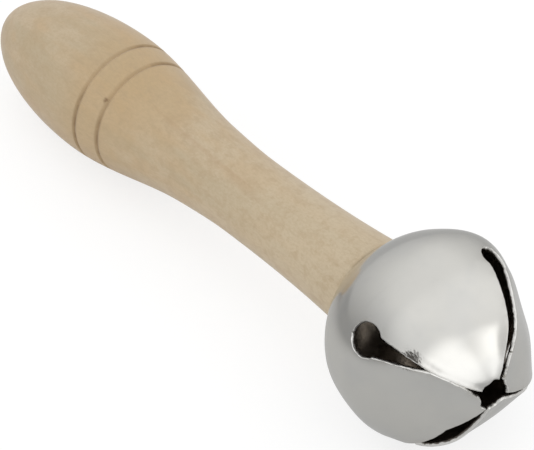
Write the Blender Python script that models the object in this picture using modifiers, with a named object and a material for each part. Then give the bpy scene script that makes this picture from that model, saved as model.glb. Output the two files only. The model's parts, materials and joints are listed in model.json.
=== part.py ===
"""Jingle stick: a turned wooden handle with one four-petal jingle bell on its end.

The stick lies on a table along X, resting on the handle's bulb and on the bell, with the bell's
nose towards +X. Metres, +Z up, the origin on the table under the middle of the stick.
"""

import math

import bmesh
import bpy
from mathutils import Euler, Matrix, Vector

# Handle, turned from one piece of pale hardwood; lengths are measured from the butt
HANDLE_LENGTH = 0.1085
BUTT_FLAT_RADIUS = 0.0018
BUTT_ROUND = 0.0080
BUTT_BLUNTNESS = 0.07
BULB_RADIUS = 0.0123
BULB_PLACE = 0.0302
SHOULDER_RADIUS = 0.0085
SHOULDER_PLACE = 0.0586
WAIST_RADIUS = 0.0078
WAIST_PLACE = 0.0718
END_RADIUS = 0.0094
END_FLARE = 0.10
END_EDGE = 0.0006
GROOVE_PLACES = (0.0346, 0.0404)
GROOVE_WIDTH = 0.0009
GROOVE_DEPTH = 0.0005

# Bell, pressed from one sheet of steel and closed by folding its four petals in
BELL_RADIUS = 0.0200
SHEET = 0.0008
PETALS = 4
# Angle from the nose, how far the fold takes a petal's middle and its edges in from the round
FOLD = (
    (math.radians(0.0), 0.0019, 0.0019),
    (math.radians(20.0), 0.0029, 0.0021),
    (math.radians(40.0), 0.0035, 0.0015),
    (math.radians(60.0), 0.0034, 0.0008),
    (math.radians(80.0), 0.0026, 0.0002),
    (math.radians(100.0), 0.0009, -0.0003),
    (math.radians(120.0), 0.0, 0.0),
)
NOSE_HOLE_RADIUS = 0.0024
KEYHOLE_RADIUS = 0.00335
KEYHOLE_PLACE = math.radians(84.0)
NECK_WIDTH = 0.0036
PINCH_WIDTHS = (0.0016, 0.0005, 0.0026, 0.0010)
PINCH_STARTS = math.radians(42.0)
PINCH_ENDS = math.radians(20.0)
TIP_WIDENING = 0.0010
SLOT_TURN = math.radians(-32.4)
BELL_RISE = math.radians(0.4)
BELL_YAW = math.radians(-3.5)
DISH_DEPTH = 0.0019

# Screw that holds the bell, driven from inside it into the handle's end grain
SCREW_RADIUS = 0.00175
SCREW_LENGTH = 0.0160
SCREW_POINT = 0.0035
SCREW_HEAD_RADIUS = 0.0035
SCREW_HEAD_HEIGHT = 0.0023
SCREW_RIM_HEIGHT = 0.0010
SCREW_CROWN_RADIUS = 0.0019
RECESS_SPAN = 0.0034
RECESS_WIDTH = 0.0009
RECESS_DEPTH = 0.0012

# Pellet, a loose steel ball too large for the keyholes
PELLET_RADIUS = 0.0040
PELLET_TRACK = math.radians(106.0)

# Clearances and fineness
GAP = 0.0003
PELLET_GAP = 0.0004
PAST = 0.0010
TURNED_SIDES = 32
OUTLINE_STEP = 0.0030
BELL_RINGS = 24
SMALL_SIDES = 24
SMOOTH_ANGLE = math.radians(32.0)


def clear_scene():
    """Remove what the scene starts with and make the collections."""
    for item in list(bpy.data.objects):
        bpy.data.objects.remove(item, do_unlink=True)
    made = []
    for name in ("jingle_stick", "cutters", "bell_cutters"):
        collection = bpy.data.collections.new(name)
        bpy.context.scene.collection.children.link(collection)
        made.append(collection)
    return made


PARTS, CUTTERS, BELL_CUTTERS = clear_scene()


def finish_material(name, colour, roughness, metallic):
    """A Principled BSDF material in one colour."""
    material = bpy.data.materials.new(name)
    material.use_nodes = True
    shader = material.node_tree.nodes["Principled BSDF"]
    shader.inputs["Base Color"].default_value = (*colour, 1.0)
    shader.inputs["Roughness"].default_value = roughness
    shader.inputs["Metallic"].default_value = metallic
    return material


def add_object(name, mesh, frame, collection=PARTS, material=None):
    """Link a mesh as an object under the empty that gives its frame."""
    item = bpy.data.objects.new(name, mesh)
    collection.objects.link(item)
    item.parent = frame
    if material:
        mesh.materials.append(material)
    if collection != PARTS:
        item.hide_render = True
        item.display_type = "WIRE"
    return item


def add_empty(name, parent=None, place=(0.0, 0.0, 0.0)):
    """An empty that carries what is parented to it."""
    empty = bpy.data.objects.new(name, None)
    PARTS.objects.link(empty)
    empty.parent = parent
    empty.location = place
    return empty


def mesh_from(bm, name):
    """Turn a bmesh into a mesh, smooth but for its sharp edges."""
    mesh = bpy.data.meshes.new(name)
    bm.to_mesh(mesh)
    bm.free()
    mesh.shade_smooth()
    mesh.set_sharp_from_angle(angle=SMOOTH_ANGLE)
    return mesh


def turned_object(name, outline, frame, sides=TURNED_SIDES, collection=PARTS, material=None):
    """Turn an outline of (place along X, radius), last place first, about the X axis.

    It starts half a side round, so that a flat of the many-sided solid lies on the table.
    """
    mesh = bpy.data.meshes.new(name)
    start = math.pi / sides
    across, aside = math.cos(start), math.sin(start)
    points = [(radius * across, radius * aside, place) for place, radius in outline]
    mesh.from_pydata(points, [(i, i + 1) for i in range(len(points) - 1)], [])
    item = add_object(name, mesh, frame, collection, material)
    item.rotation_euler = (0.0, math.radians(90.0), 0.0)
    turn = item.modifiers.new("turn", "SCREW")
    turn.steps = sides
    turn.render_steps = sides
    turn.use_merge_vertices = True
    turn.merge_threshold = 0.00001
    turn.use_smooth_shade = True
    return item


def cut(item, cutter):
    """Subtract one cutter from an object."""
    step = item.modifiers.new("cut " + cutter.name, "BOOLEAN")
    step.operation = "DIFFERENCE"
    step.solver = "EXACT"
    step.object = cutter


def through(knots, place, last_slope=0.0):
    """Smooth curve through (place, value) knots that doesn't overshoot them, level at its start."""
    slopes = [0.0]
    for (a, low), (b, middle), (c, high) in zip(knots, knots[1:], knots[2:]):
        before, after = (middle - low) / (b - a), (high - middle) / (c - b)
        turns_back = before * after <= 0.0
        slopes.append(0.0 if turns_back else 2.0 * before * after / (before + after))
    slopes.append(last_slope)
    i = next((k for k in range(len(knots) - 2) if place <= knots[k + 1][0]), len(knots) - 2)
    (start, low), (end, high) = knots[i], knots[i + 1]
    span = end - start
    t = (place - start) / span
    rise = t * t * (3.0 - 2.0 * t)
    leave = t * (1.0 - t) ** 2 * span * slopes[i]
    arrive = -t * t * (1.0 - t) * span * slopes[i + 1]
    return low + (high - low) * rise + leave + arrive


# Handle

def handle_radius(place):
    """Radius of the turned handle, smooth from the butt over bulb and waist to the end."""
    if place <= BULB_PLACE:
        back = 1.0 - place / BULB_PLACE
        egg = math.sqrt(1.0 - back ** 2)
        point = math.sqrt(min(place / BUTT_ROUND, 1.0))
        blunt = 1.0 - BUTT_BLUNTNESS * (1.0 - point)
        return max(BULB_RADIUS * egg * blunt, BUTT_FLAT_RADIUS)
    knots = (
        (BULB_PLACE, BULB_RADIUS),
        (SHOULDER_PLACE, SHOULDER_RADIUS),
        (WAIST_PLACE, WAIST_RADIUS),
        (HANDLE_LENGTH, END_RADIUS),
    )
    return through(knots, place, END_FLARE)


def handle_outline():
    """Outline of the handle from its bell end to its butt, with both V grooves."""
    steps = max(int(HANDLE_LENGTH / OUTLINE_STEP), 12)
    places = [HANDLE_LENGTH * (i / steps) ** 1.25 for i in range(1, steps)]
    places = [p for p in places if all(abs(p - g) > GROOVE_WIDTH for g in GROOVE_PLACES)]
    points = [(p, handle_radius(p)) for p in places if p < HANDLE_LENGTH - 2.0 * END_EDGE]
    for groove in GROOVE_PLACES:
        lips = (groove - GROOVE_WIDTH / 2.0, groove + GROOVE_WIDTH / 2.0)
        points += [(lip, handle_radius(lip)) for lip in lips]
        points.append((groove, handle_radius(groove) - GROOVE_DEPTH))
    points.sort(reverse=True)
    end = [(HANDLE_LENGTH, 0.0)]
    for i in range(4):
        angle = math.radians(90.0 * (1.0 - i / 3.0))
        place = HANDLE_LENGTH - END_EDGE * (1.0 - math.sin(angle))
        end.append((place, END_RADIUS - END_EDGE * (1.0 - math.cos(angle))))
    butt = [(0.0, BUTT_FLAT_RADIUS), (0.0, 0.0)]
    return end + points + butt


# Bell

def fold_in(angle, column):
    """How far the fold takes the skin in: column 1 at a petal's middle, 2 beside a slot."""
    if angle >= FOLD[-1][0]:
        return 0.0
    return through([(row[0], row[column]) for row in FOLD], angle)


def bell_surface(angle, turn):
    """Distance of the bell's outside from its centre, by angle from the nose and round it."""
    part = 2.0 * math.pi / PETALS
    off = (turn - SLOT_TURN) % part - part / 2.0
    corner = (1.0 / math.cos(off) - 1.0) / (1.0 / math.cos(part / 2.0) - 1.0)
    middle = fold_in(angle, 1)
    return BELL_RADIUS - middle - (fold_in(angle, 2) - middle) * corner


def bell_direction(angle, turn):
    """Unit direction from the bell's centre: angle from the nose, turn from +Z about +X."""
    side = math.sin(angle)
    return Vector((math.cos(angle), -side * math.sin(turn), side * math.cos(turn)))


def bell_mesh():
    """The bell's outer skin: a globe whose front is pressed in to four flat petals."""
    bm = bmesh.new()
    bmesh.ops.create_uvsphere(bm, u_segments=TURNED_SIDES, v_segments=BELL_RINGS, radius=1.0)
    half_side = math.pi / TURNED_SIDES
    for vert in bm.verts:
        angle = math.acos(max(-1.0, min(1.0, vert.co.z)))
        turn = math.atan2(vert.co.y, vert.co.x) + half_side
        vert.co = bell_direction(angle, turn) * bell_surface(angle, turn)
    bm.normal_update()
    bmesh.ops.recalc_face_normals(bm, faces=bm.faces)
    return mesh_from(bm, "bell_shell")


def slot_width(angle, pinch):
    """Width of a slot by angle from the nose: wide at the tips, pinched, wide at the keyhole."""
    if angle >= PINCH_STARTS:
        share = (angle - PINCH_STARTS) / (KEYHOLE_PLACE - PINCH_STARTS)
        return pinch + (NECK_WIDTH - pinch) * share
    return pinch + TIP_WIDENING * max(1.0 - angle / PINCH_ENDS, 0.0)


def slot_cutter(index, frame):
    """A tapering blade through the wall along one slot, lofted from its sections."""
    turn = SLOT_TURN + 2.0 * math.pi * index / PETALS
    across = bell_direction(math.pi / 2.0, turn + math.pi / 2.0)
    inner = BELL_RADIUS - max(row[1] for row in FOLD) - SHEET - PAST
    outer = BELL_RADIUS - min(row[2] for row in FOLD) + PAST
    in_keyhole = KEYHOLE_PLACE - KEYHOLE_RADIUS / BELL_RADIUS / 2.0
    stations = [PINCH_ENDS / 8.0, PINCH_ENDS / 2.0, PINCH_ENDS, PINCH_STARTS]
    stations += [PINCH_STARTS + (in_keyhole - PINCH_STARTS) * k / 3.0 for k in (1, 2, 3)]
    bm = bmesh.new()
    rows = []
    for angle in stations:
        along = bell_direction(angle, turn)
        half = slot_width(angle, PINCH_WIDTHS[index]) / 2.0
        corners = ((inner, -half), (inner, half), (outer, half), (outer, -half))
        rows.append([bm.verts.new(along * reach + across * side) for reach, side in corners])
    for near, far in zip(rows, rows[1:]):
        for k in range(4):
            bm.faces.new((near[k], near[(k + 1) % 4], far[(k + 1) % 4], far[k]))
    bm.faces.new(rows[0])
    bm.faces.new(rows[-1])
    bmesh.ops.recalc_face_normals(bm, faces=bm.faces)
    return add_object("slot_cutter_" + str(index), mesh_from(bm, "slot"), frame, BELL_CUTTERS)


def rod_mesh(name, start, end, radius, sides=SMALL_SIDES):
    """A plain round rod between two points."""
    along = end - start
    bm = bmesh.new()
    bmesh.ops.create_cone(
        bm,
        cap_ends=True,
        segments=sides,
        radius1=radius,
        radius2=radius,
        depth=along.length,
    )
    turn = Vector((0.0, 0.0, 1.0)).rotation_difference(along).to_matrix().to_4x4()
    bm.transform(Matrix.Translation((start + end) / 2.0) @ turn)
    return mesh_from(bm, name)


def make_bell(frame, material):
    """The shell with its wall, four keyhole slots, the nose hole and the screw's hole."""
    shell = add_object("bell_shell", bell_mesh(), frame, PARTS, material)
    wall = shell.modifiers.new("wall", "SOLIDIFY")
    wall.thickness = SHEET
    wall.offset = -1.0
    wall.use_even_offset = True
    for index in range(PETALS):
        slot_cutter(index, frame)
        keyhole = bell_direction(KEYHOLE_PLACE, SLOT_TURN + 2.0 * math.pi * index / PETALS)
        inside = keyhole * (BELL_RADIUS - SHEET - 3.0 * PAST)
        rod = rod_mesh("keyhole", inside, keyhole * (BELL_RADIUS + 3.0 * PAST), KEYHOLE_RADIUS)
        add_object("keyhole_cutter_" + str(index), rod, frame, BELL_CUTTERS)
    nose = Vector((BELL_RADIUS, 0.0, 0.0))
    rod = rod_mesh("nose_hole", nose / 2.0, nose + nose / 2.0, NOSE_HOLE_RADIUS)
    add_object("nose_hole_cutter", rod, frame, BELL_CUTTERS)
    tail = Vector((-BELL_RADIUS, 0.0, 0.0))
    through_wall = Vector((SHEET + 2.0 * PAST, 0.0, 0.0))
    rod = rod_mesh("screw_hole", tail - through_wall, tail + through_wall, SCREW_RADIUS + GAP)
    add_object("screw_hole_cutter", rod, frame, BELL_CUTTERS)
    holes = shell.modifiers.new("slots and holes", "BOOLEAN")
    holes.operation = "DIFFERENCE"
    holes.solver = "EXACT"
    holes.operand_type = "COLLECTION"
    holes.collection = BELL_CUTTERS
    return shell


# Screw

def head_seat():
    """Distance behind the bell's centre at which the screw head meets the inside of the dome."""
    return math.sqrt((BELL_RADIUS - SHEET) ** 2 - SCREW_HEAD_RADIUS ** 2) - GAP


def make_screw(frame, material):
    """A pan-head screw with a cross recess, its head inside the bell."""
    seat = -head_seat()
    crown = seat + SCREW_HEAD_HEIGHT
    rim = seat + SCREW_RIM_HEIGHT
    outline = [(crown, 0.0), (crown, SCREW_CROWN_RADIUS)]
    for degrees in (36.0, 68.0, 90.0):
        angle = math.radians(degrees)
        radius = SCREW_CROWN_RADIUS + (SCREW_HEAD_RADIUS - SCREW_CROWN_RADIUS) * math.sin(angle)
        outline.append((rim + (crown - rim) * math.cos(angle), radius))
    outline += [(seat, SCREW_HEAD_RADIUS), (seat, SCREW_RADIUS)]
    outline += [(seat - SCREW_LENGTH + SCREW_POINT, SCREW_RADIUS), (seat - SCREW_LENGTH, 0.0)]
    screw = turned_object("bell_screw", outline, frame, SMALL_SIDES, PARTS, material)
    for index, size in enumerate(((RECESS_SPAN, RECESS_WIDTH), (RECESS_WIDTH, RECESS_SPAN))):
        bm = bmesh.new()
        bmesh.ops.create_cube(bm, size=1.0)
        bm.transform(Matrix.Diagonal((2.0 * RECESS_DEPTH, size[0], size[1], 1.0)))
        bm.transform(Matrix.Translation((crown, 0.0, 0.0)))
        name = "recess_cutter_" + str(index)
        cut(screw, add_object(name, mesh_from(bm, name), frame, CUTTERS))
    return screw


# Handle, dished for the bell and drilled for the screw

def make_handle(frame, bell_frame, material):
    """The turned handle with a dish for the dome and a pilot hole for the screw."""
    handle = turned_object("handle", handle_outline(), frame, TURNED_SIDES, PARTS, material)
    bm = bmesh.new()
    bmesh.ops.create_uvsphere(
        bm,
        u_segments=TURNED_SIDES,
        v_segments=BELL_RINGS,
        radius=BELL_RADIUS + GAP,
    )
    bm.transform(Matrix.Rotation(math.radians(90.0), 4, "Y"))
    dish = mesh_from(bm, "dish")
    cut(handle, add_object("dish_cutter", dish, bell_frame, CUTTERS))
    mouth = Vector((-BELL_RADIUS, 0.0, 0.0))
    bottom = Vector((-head_seat() - SCREW_LENGTH - GAP, 0.0, 0.0))
    rod = rod_mesh("pilot", bottom, mouth, SCREW_RADIUS + GAP)
    cut(handle, add_object("pilot_cutter", rod, bell_frame, CUTTERS))
    return handle


# Pellet

def pellet_reach():
    """Distance from the bell's centre at which the ball clears the wall all the way round."""
    reach = BELL_RADIUS - SHEET - PELLET_RADIUS - PELLET_GAP
    wall = [PELLET_TRACK + math.radians(k) for k in range(-40, 41, 2)]
    inner = [bell_direction(a, 0.0) * (BELL_RADIUS - fold_in(a, 1) - SHEET) for a in wall]
    along = bell_direction(PELLET_TRACK, 0.0)
    while min((point - along * reach).length for point in inner) < PELLET_RADIUS + PELLET_GAP:
        reach -= PELLET_GAP / 10.0
    return reach


def make_pellet(frame, material):
    """The loose ball, lying at the lowest place inside the bell."""
    bm = bmesh.new()
    bmesh.ops.create_uvsphere(
        bm,
        u_segments=SMALL_SIDES,
        v_segments=SMALL_SIDES // 2,
        radius=PELLET_RADIUS,
    )
    bm.transform(Matrix.Translation(bell_direction(PELLET_TRACK, math.pi) * pellet_reach()))
    return add_object("pellet", mesh_from(bm, "pellet"), frame, PARTS, material)


def world_points(item):
    """Corners of an object as it is evaluated, in world space."""
    seen = item.evaluated_get(bpy.context.evaluated_depsgraph_get())
    mesh = seen.to_mesh()
    points = [seen.matrix_world @ vert.co for vert in mesh.vertices]
    seen.to_mesh_clear()
    return points


def lay_down(stick, handle, shell):
    """Tip the stick until bulb and bell both touch the table, and centre it on the origin."""
    bpy.context.view_layer.update()
    wood, steel = world_points(handle), world_points(shell)
    slope = 0.0
    for _ in range(8):
        low_wood = min(wood, key=lambda p: p.z - slope * p.x)
        low_steel = min(steel, key=lambda p: p.z - slope * p.x)
        slope = (low_steel.z - low_wood.z) / (low_steel.x - low_wood.x)
    stick.rotation_euler = (0.0, math.atan(slope), 0.0)
    bpy.context.view_layer.update()
    points = world_points(handle) + world_points(shell)
    low = [min(p[k] for p in points) for k in range(3)]
    high = [max(p[k] for p in points) for k in range(3)]
    stick.location = (-(low[0] + high[0]) / 2.0, -(low[1] + high[1]) / 2.0, -low[2])
    bpy.context.view_layer.update()


def main():
    """Build the four pieces in the stick's own frame and lay the stick down."""
    wood = finish_material("pale_wood", (0.55, 0.44, 0.30), 0.55, 0.0)
    nickel = finish_material("nickel_plate", (0.68, 0.67, 0.64), 0.22, 1.0)
    zinc = finish_material("zinc_plate", (0.60, 0.60, 0.60), 0.35, 1.0)
    steel = finish_material("ball_steel", (0.45, 0.45, 0.46), 0.30, 1.0)
    stick = add_empty("stick")
    seat = HANDLE_LENGTH - DISH_DEPTH + GAP
    lean = Euler((0.0, -BELL_RISE, BELL_YAW))
    along = lean.to_matrix() @ Vector((BELL_RADIUS, 0.0, 0.0))
    bell_frame = add_empty("bell_axis", stick, Vector((seat, 0.0, 0.0)) + along)
    bell_frame.rotation_euler = lean
    handle = make_handle(stick, bell_frame, wood)
    shell = make_bell(bell_frame, nickel)
    make_screw(bell_frame, zinc)
    make_pellet(bell_frame, steel)
    lay_down(stick, handle, shell)


main()
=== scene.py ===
"""Jingle stick, dressed: turned wooden handle, pressed four-petal bell, screw and loose pellet."""

import json
import math

import bmesh
import bpy
import numpy as np
from mathutils import Matrix, Vector


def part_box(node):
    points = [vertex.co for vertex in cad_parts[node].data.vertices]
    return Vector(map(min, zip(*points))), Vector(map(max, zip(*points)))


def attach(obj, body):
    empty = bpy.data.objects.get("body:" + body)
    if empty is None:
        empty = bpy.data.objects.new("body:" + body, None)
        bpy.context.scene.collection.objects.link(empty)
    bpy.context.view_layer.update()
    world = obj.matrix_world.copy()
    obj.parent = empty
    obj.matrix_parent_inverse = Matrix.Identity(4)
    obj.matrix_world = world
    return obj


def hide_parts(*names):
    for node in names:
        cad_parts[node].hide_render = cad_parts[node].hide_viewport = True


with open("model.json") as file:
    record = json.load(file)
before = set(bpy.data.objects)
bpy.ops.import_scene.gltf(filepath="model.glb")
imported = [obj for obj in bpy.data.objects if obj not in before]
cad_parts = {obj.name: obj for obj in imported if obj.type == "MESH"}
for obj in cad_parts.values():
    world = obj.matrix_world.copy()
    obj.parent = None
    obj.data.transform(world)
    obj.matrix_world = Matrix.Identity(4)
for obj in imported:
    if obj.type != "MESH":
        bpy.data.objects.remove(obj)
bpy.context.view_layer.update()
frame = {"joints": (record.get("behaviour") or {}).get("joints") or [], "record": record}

# Where the stick and its bell lie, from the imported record

MM = 0.001
BUTT = next(m for m in frame["record"]["mounts"] if m["name"] == "butt_end")
BELL = next(j for j in frame["joints"] if j["name"] == "pellet_roll")


def frame_matrix(origin, along, up):
    """Turns a piece's millimetres, with X along it, into the model's metres."""
    x = along.normalized()
    y = up.cross(x).normalized()
    turn = Matrix((x, y, x.cross(y))).transposed().to_4x4()
    return Matrix.Translation(origin) @ turn @ Matrix.Scale(MM, 4)


STICK_AXIS = -Vector(BUTT["axis"])
STICK_UP = STICK_AXIS.cross(Vector((0.0, 1.0, 0.0)))
STICK_PLACE = frame_matrix(Vector(BUTT["pos_m"]), STICK_AXIS, STICK_UP)
BELL_CENTRE = Vector(BELL["pos_m"])
BELL_PLACE = frame_matrix(BELL_CENTRE, Vector(BELL["axis"]), STICK_UP)

# Handle, in millimetres from the butt

HANDLE_LENGTH = 108.5
BUTT_FLAT_RADIUS = 1.8
BUTT_ROUND = 8.0
BUTT_BLUNTNESS = 0.07
BULB = (30.2, 12.3)
SHOULDER = (58.6, 8.5)
WAIST = (71.8, 7.8)
END_RADIUS = 9.4
END_FLARE = 0.10
END_EDGE = 0.6
GROOVES = (34.6, 40.4)
GROOVE_WIDTH = 1.0
GROOVE_DEPTH = 0.32
GROOVE_BOTTOM_ROUNDING = 0.01
GROOVE_LIP_ROUNDING = 0.02
DISH_SEAT = 106.9
DISH_RADIUS = 20.3
BORE_RADIUS = 2.05
BORE_DEPTH = 16.5

# Rows of the handle's outline: how many, and how far apart
BORE_ROWS = 12
END_ROWS = 18
END_EDGE_ROWS = 6
PLAIN_ROWS = 143
PLAIN_ROW_STEP = 0.75
BUTT_ROWS = (0.02, 0.06, 0.12, 0.2, 0.32, 0.5)
GROOVE_HALF_ROWS = 10
GROOVE_ROW_STEP = 0.06
GROOVE_CLEARANCE = 0.62

# Marks in the wood: two warm patches, a thin streak, where the grooves' burn and painted shade
# is faintest, the growth rings' centre and a small dark chip beside the second groove
WARM_FRONT = (46.5, -3.0, 10.5)
WARM_TOP = (30.0, 6.0, 10.5)
STREAK_Y = -4.1
PALER_GROOVES_Y = -3.5
RINGS_Y = -46.0
RINGS_Z = 30.0
CHIP = (40.0, -8.4, 8.4)

# Bell, in millimetres from its centre, its nose towards X

BELL_RADIUS = 20.0
SHEET = 0.8
PETALS = 4
PART = 2.0 * math.pi / PETALS
SLOT_TURN = math.radians(-32.4)
BELL_RISE = math.radians(0.4)
BELL_YAW = math.radians(-3.5)

# How far the fold takes the skin in, at these angles from the nose: each petal's middle, then
# beside each slot. Across a petal it goes from flat at the nose to a soft wave at the keyholes.
NOSE_FOLD = 1.96
FOLD_ANGLES = (20.0, 40.0, 60.0, 80.0, 100.0, 120.0)
PETAL_FOLDS = (
    (2.92, 3.54, 3.38, 2.38, 1.14, 0.70),
    (2.99, 4.24, 3.33, 2.32, 0.93, 0.00),
    (3.36, 3.50, 3.22, 2.42, 1.26, 0.18),
    (2.94, 3.22, 3.78, 3.37, 1.27, 0.00),
)
SLOT_FOLDS = (
    (1.78, 0.54, 0.37, 0.50, -0.42, 0.00),
    (2.24, 1.77, 0.61, -0.19, -0.11, 0.00),
    (1.96, 1.34, 1.03, 0.69, -0.25, 0.00),
    (2.22, 1.74, 1.05, 0.54, -0.10, 0.00),
)
TAIL_ANGLES = (140.0, 180.0)
FLAT_ENDS = 55.0
WAVE_STARTS = 85.0

# The nose as a whole sits a little low, and the four tips leave a small hole
NOSE_DROP = 1.46
NOSE_DROP_REACH = 38.0
NOSE_HOLE_RADIUS = 3.3

# Keyholes: angle from the nose, radius, turn away from the slot's line
KEYHOLES = ((79.6, 2.95, -2.4), (82.8, 3.40, 1.4), (84.0, 3.35, 0.0), (84.0, 3.35, 0.0))

# Each slot's two edges at these angles: how far each stands from the slot's line, and how proud
EDGE_ANGLES = (0.0, 20.0, 40.0, 60.0, 80.0)
SLOT_WIDTHS = (
    ((0.63, 0.92, 1.85, 2.85, 2.75), (0.71, 0.83, 1.08, 1.38, 1.60)),
    ((0.60, 0.12, 0.05, 0.87, 1.71), (1.75, 0.50, 0.07, 1.65, 2.89)),
    ((-0.30, 1.60, 2.63, 1.95, 1.49), (1.11, 0.64, 0.20, 0.42, 1.29)),
    ((0.90, 0.78, 0.80, 1.04, 1.59), (1.00, 0.70, 0.60, 0.89, 1.57)),
)
SLOT_LIFTS = (
    ((0.00, 0.00, 0.00, 0.00, 0.00), (0.00, 0.07, 0.15, 0.10, 0.00)),
    ((-0.05, -0.10, -0.22, -0.10, 0.00), (0.05, 0.15, 0.10, 0.00, 0.00)),
    ((0.00, 0.00, 0.00, 0.00, 0.00), (0.00, 0.00, 0.00, 0.00, 0.00)),
    ((0.00, 0.00, 0.00, 0.00, 0.00), (0.00, 0.00, 0.00, 0.00, 0.00)),
)
LIFT_REACH = 1.2

# How ragged each slot's two edges are
SLOT_TEARS = ((0.050, 0.012), (0.012, 0.045), (0.012, 0.012), (0.020, 0.020))

# The distances from the bell's centre at which slots and keyholes are measured
SLOT_REACH = 18.5
KEYHOLE_REACH = 19.7

# A painted dark reflection on the upper petal, just above the left slot
DARK_REFLECTION_SPOT = (10.5, -13.0, 8.6)

# Across a sheared edge: how far out it stands and how deep below the outer skin
LIP = (
    (0.04, 0.02),
    (0.08, 0.08),
    (0.12, 0.20),
    (0.12, 0.48),
    (0.10, 0.68),
    (0.02, 0.80),
)
LIP_ROUGHNESS = 0.018
LIP_SEED = 5
TEAR_SEEDS = (20, 10)
WEAR_REACH = 0.6

# The petals' tips ripple a little, in degrees, and fade into the skin over so many rows
TIP_RIPPLE = 0.5
TIP_ROWS = 12

# Rows along a petal's edges, round half a keyhole and over the dome, and cells across, which
# crowd towards the edges. The neck is where a slot meets its keyhole, in degrees round the hole.
ALONG_ROWS = 110
KEYHOLE_ROWS = 42
DOME_ROWS = 45
ACROSS = 44
EDGE_CROWDING = 0.85
NECK = 35.0
BELL_SHARP_ANGLE = 50.0

# Screw and pellet, in millimetres

SCREW_RADIUS = 1.75
SCREW_LENGTH = 16.0
SCREW_POINT = 3.5
SCREW_HEAD_RADIUS = 3.5
SCREW_HEAD_HEIGHT = 2.3
SCREW_RIM_HEIGHT = 1.0
SCREW_RIM_BEVEL = 0.15
SCREW_CROWN_RADIUS = 1.9
SCREW_SEAT = 18.577
SHANK_ROWS = 150
HEAD_ROWS = 12
CROWN_ROWS = 6
THREAD_PITCH = 1.25
THREAD_DEPTH = 0.45
THREAD_SHARPNESS = 3.2
RECESS_SPAN = 3.4
RECESS_WIDTH = 0.9
RECESS_DEPTH = 1.2
RECESS_TAPER = (0.55, 0.75)
RECESS_TURN = 38.0
PELLET_SKIN = 3.96
PELLET_BELT = 0.035
PELLET_BELT_WIDTH = 0.09
PELLET_POLE = 0.93
PELLET_POLE_FLAT = 0.05
PELLET_TILT = 50.0


# Node trees

class Field:
    """One output in a node tree. Arithmetic on it adds Math nodes to the same tree."""

    def __init__(self, tree, end):
        self.tree = tree
        self.end = end

    def __add__(self, other):
        return self.tree.math("ADD", self, other)

    __radd__ = __add__

    def __sub__(self, other):
        return self.tree.math("SUBTRACT", self, other)

    def __rsub__(self, other):
        return self.tree.math("SUBTRACT", other, self)

    def __mul__(self, other):
        return self.tree.math("MULTIPLY", self, other)

    def __truediv__(self, other):
        return self.tree.math("DIVIDE", self, other)

    def __abs__(self):
        return self.tree.math("ABSOLUTE", self)

    def other(self, name):
        """Another output of the same node."""
        return Field(self.tree, self.end.node.outputs[name])


class Tree:
    """Adds nodes to one node tree and links them."""

    def __init__(self, group):
        self.group = group

    def add(self, kind, settings=None, sockets=None, output=0):
        """A node of a kind, its settings first, then its sockets' values and links."""
        node = self.group.nodes.new(kind)
        for name, value in (settings or {}).items():
            setattr(node, name, value)
        for name, value in (sockets or {}).items():
            if isinstance(value, Field):
                self.group.links.new(value.end, node.inputs[name])
            else:
                node.inputs[name].default_value = value
        return Field(self, node.outputs[output]) if node.outputs else node

    def math(self, operation, *values):
        """A Math node."""
        return self.add("ShaderNodeMath", {"operation": operation}, dict(enumerate(values)))

    def vector_math(self, operation, one, two, output=0):
        """A Vector Math node."""
        settings = {"operation": operation}
        return self.add("ShaderNodeVectorMath", settings, {0: one, 1: two}, output)

    def mix(self, share, one, two):
        """A blend of two colours."""
        settings = {"data_type": "RGBA"}
        return self.add("ShaderNodeMix", settings, {0: share, 6: one, 7: two}, 2)

    def scaled(self, vector, x, y, z):
        """A vector with each part multiplied."""
        return self.vector_math("MULTIPLY", vector, (x, y, z))

    def dot(self, one, two):
        """Dot product of two vectors."""
        return self.vector_math("DOT_PRODUCT", one, two, "Value")

    def distance(self, one, two):
        """How far apart two points are."""
        return self.vector_math("DISTANCE", one, two, "Value")

    def part(self, vector, name):
        """One part of a vector."""
        return self.add("ShaderNodeSeparateXYZ", {}, {"Vector": vector}, name)

    def noise(self, vector, scale, detail, roughness, distortion=0.0):
        """Noise from 0 to 1 whose scale is in cycles for each millimetre."""
        sockets = {
            "Vector": vector,
            "Scale": scale,
            "Detail": detail,
            "Roughness": roughness,
            "Distortion": distortion,
        }
        return self.add("ShaderNodeTexNoise", {}, sockets)

    def step(self, value, low, high, start=0.0, end=1.0):
        """A smooth step of a value from low to high, held beyond them."""
        settings = {"interpolation_type": "SMOOTHSTEP"}
        sockets = {
            "Value": value,
            "From Min": low,
            "From Max": high,
            "To Min": start,
            "To Max": end,
        }
        return self.add("ShaderNodeMapRange", settings, sockets)


def rgb(red, green, blue):
    """A colour, as a socket takes it."""
    return (red, green, blue, 1.0)


def new_material(name):
    """An empty material, its tree and its Principled BSDF."""
    material = bpy.data.materials.new(name)
    material.use_nodes = True
    return material, Tree(material.node_tree), material.node_tree.nodes["Principled BSDF"]


def millimetres(tree, place):
    """Object coordinates as millimetres in a piece's own frame."""
    where, turn, _ = place.decompose()
    settings = {"vector_type": "TEXTURE"}
    sockets = {
        "Vector": tree.add("ShaderNodeTexCoord", {}, {}, "Object"),
        "Location": where,
        "Rotation": turn.to_euler(),
        "Scale": (MM, MM, MM),
    }
    return tree.add("ShaderNodeMapping", settings, sockets)


def bump(tree, shader, height, millimetres_high, strength):
    """Relief from a height between 0 and 1."""
    sockets = {"Strength": strength, "Distance": millimetres_high * MM, "Height": height}
    normal = tree.add("ShaderNodeBump", {}, sockets)
    tree.group.links.new(normal.end, shader.inputs["Normal"])


def feed(tree, shader, name, value):
    """Link a field to one of a shader's sockets."""
    tree.group.links.new(value.end, shader.inputs[name])


# Materials

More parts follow.
